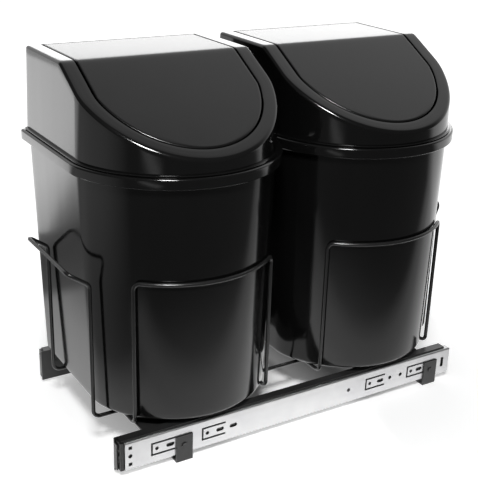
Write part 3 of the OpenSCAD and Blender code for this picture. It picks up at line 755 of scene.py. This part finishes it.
# A painted reflection: the paler left side that only mirrors see, by heading and by distance
PAINTED_SIDE_REFLECTION = 0.40
SIDE_ANGLE = math.radians(-106)
SIDE_START, SIDE_END = 0.79, 0.98
SIDE_NEAR, SIDE_FAR, SIDE_NEAR_SHARE = 0.40, 1.00, 0.25

# The bright backdrop in mirrors, on the floor by its distance and in the world by its direction
BACKDROP_START, BACKDROP_END = 0.20, 0.45
BEHIND_START, BEHIND_END = 0.20, 0.60
WORLD_FILL = 0.12


def along(tree, vector, direction):
    """How far a vector socket reaches in a fixed direction."""
    node = tree.nodes.new("ShaderNodeVectorMath")
    node.operation = "DOT_PRODUCT"
    node.inputs[1].default_value = direction
    tree.links.new(vector, node.inputs[0])
    return node.outputs["Value"]


def shows_background(tree, mirrored, seen=None):
    """A level for rays from mirrors and glass, one for camera rays, 0 for those that light the object."""
    path = tree.nodes.new("ShaderNodeLightPath")
    direct = path.outputs["Is Camera Ray"]
    if seen:
        direct = math_node(tree, "MULTIPLY", direct, seen)
    bounced = math_node(tree, "MAXIMUM", path.outputs["Is Glossy Ray"], path.outputs["Is Transmission Ray"])
    return math_node(tree, "MAXIMUM", direct, math_node(tree, "MULTIPLY", bounced, mirrored))


def glow_patch(tree, place, level, *edges):
    """A patch of the floor with soft edges."""
    patch = None
    for direction, start, end in edges:
        side = ramp_node(tree, along(tree, place, direction), start, end, 1 if patch else level, 0)
        patch = math_node(tree, "MULTIPLY", patch, side) if patch else side
    return patch


def with_patches(tree, glow, place, patches):
    """The brightest of a glow and some patches."""
    for patch in patches:
        glow = math_node(tree, "MAXIMUM", glow, glow_patch(tree, place, *patch))
    return glow


def floor_with_painted_reflections(tree, place):
    """Painted reflections that only mirrors see: a bright patch around the object, two strips ahead of it and a
    paler left side; and a bright backdrop.
    """
    heading = vector_node(tree, "NORMALIZE", "Vector", place)
    distance = vector_node(tree, "LENGTH", "Value", place)
    side = Vector((math.cos(SIDE_ANGLE), math.sin(SIDE_ANGLE), 0))
    # Painted reflection of a paler left side, then the painted reflection patches
    glow = ramp_node(tree, along(tree, heading, side), SIDE_START, SIDE_END, 0, PAINTED_SIDE_REFLECTION)
    share = ramp_node(tree, distance, SIDE_NEAR, SIDE_FAR, SIDE_NEAR_SHARE, 1)
    glow = with_patches(tree, math_node(tree, "MULTIPLY", glow, share), place, PAINTED_REFLECTION_PATCHES)
    backdrop = ramp_node(tree, along(tree, place, -TOWARDS_CAMERA), BACKDROP_START, BACKDROP_END, 0, 1)
    return math_node(tree, "MAXIMUM", glow, backdrop)


def make_floor():
    """A pale floor that shows white away from the object and keeps the shadows near it; painted light lightens its
    shadows under the slide and between the bins, and painted reflections show in mirrors.
    """
    bm = bmesh.new()
    bmesh.ops.create_circle(bm, cap_ends=True, segments=FLOOR_SEGMENTS, radius=FLOOR_RADIUS)
    floor = new_object("studio_floor", bm)
    material, tree, shader = new_material("studio_floor_white")
    shader.inputs["Base Color"].default_value = FLOOR_COLOUR
    shader.inputs["Roughness"].default_value = FLOOR_ROUGHNESS
    shader.inputs["Specular IOR Level"].default_value = 0.0
    shader.inputs["Emission Color"].default_value = WHITE
    place = tree.nodes.new("ShaderNodeTexCoord").outputs["Object"]
    distance = vector_node(tree, "LENGTH", "Value", place)
    glow = ramp_node(tree, distance, GLOW_START, GLOW_END, NEAR_GLOW, FAR_GLOW)
    # Painted light: patches that lighten the shadows under the slide and between the bins
    glow = with_patches(tree, glow, place, PAINTED_LIGHT_PATCHES)
    # Mirrors see the painted reflections and the backdrop; the camera sees the glow with its painted light
    strength = shows_background(tree, floor_with_painted_reflections(tree, place), glow)
    tree.links.new(strength, shader.inputs["Emission Strength"])
    paint(floor, material)


def make_world():
    """An even fill; the camera sees it white, and mirrors do behind the object."""
    world = bpy.data.worlds.new("studio_world")
    bpy.context.scene.world = world
    world.use_nodes = True
    tree = world.node_tree
    background = tree.nodes["Background"]
    background.inputs["Color"].default_value = WHITE
    direction = tree.nodes.new("ShaderNodeTexCoord").outputs["Generated"]
    behind = ramp_node(tree, along(tree, direction, -TOWARDS_CAMERA), BEHIND_START, BEHIND_END, 0, 1)
    level = ramp_node(tree, shows_background(tree, behind), 0, 1, WORLD_FILL, 1)
    tree.links.new(level, background.inputs["Strength"])


# Lamps: their place, the point they face and their size in millimetres

KEY_LAMP = {
    "place": (880, -580, 1350),
    "target": (40, -40, 100),
    "size": (320, 320),
    "watts": 1.1,
    "spread_degrees": 32,
}
BACK_LAMP = {"place": (-2350, 1250, 800), "target": (0, 0, 416), "size": (2600, 600), "watts": 11}
REFLECTOR = {"place": (-1600, -610, 3), "target": (-1600, -610, 900), "size": (2000, 700), "watts": 5.0}
REFLECTOR_TURN = math.radians(30)


def add_softbox(name, place, target, size, watts, spread_degrees=180):
    """A rectangular lamp that faces a point."""
    data = bpy.data.lights.new(name, "AREA")
    data.shape = "RECTANGLE"
    data.size, data.size_y = size[0] * MM, size[1] * MM
    data.energy = watts
    data.spread = math.radians(spread_degrees)
    lamp = bpy.data.objects.new(name, data)
    bpy.context.scene.collection.objects.link(lamp)
    lamp.location = Vector(place) * MM
    aim = Vector(target) - Vector(place)
    lamp.rotation_euler = aim.to_track_quat("-Z", "Y").to_euler()
    return lamp


def make_lights():
    add_softbox("key_softbox", **KEY_LAMP)
    add_softbox("back_softbox", **BACK_LAMP)
    reflector = add_softbox("far_reflector", **REFLECTOR)
    reflector.rotation_euler.z += REFLECTOR_TURN


# Dressing the frame

# The members inside the slides, painted darker as shade
PAINTED_SHADE_NODES = ("middle_rail", "outer_cage", "inner_cage")


def dress_frame():
    """Paints every node by its slot; the members inside the slides get a darker steel, painted shade for the
    shadow inside the slides.
    """
    slots = {part["node"]: part["material_slot"] for part in frame["record"]["subparts"]}
    for node, obj in frame["nodes"].items():
        finish = "painted_shade_steel" if node.endswith(PAINTED_SHADE_NODES) else slots[node]
        paint(obj, MATERIALS[finish])


def put_on(obj, slot, body, node):
    """Paints a new piece and makes it ride and stand for its node."""
    paint(obj, MATERIALS[slot])
    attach(obj, body)
    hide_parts(node)


make_camera()
make_floor()
make_world()
make_lights()
dress_frame()
for end in ENDS:
    lid_shape = LidShape(end)
    put_on(make_bin(end), "bin_plastic", end + "_bin_set", end + "_bin")
    put_on(make_lid(lid_shape), "bin_plastic", end + "_lid_set", end + "_lid")
    put_on(make_flap(lid_shape), "flap_plastic", end + "_flap_set", end + "_flap")

bpy.context.scene.view_settings.view_transform = "Standard"
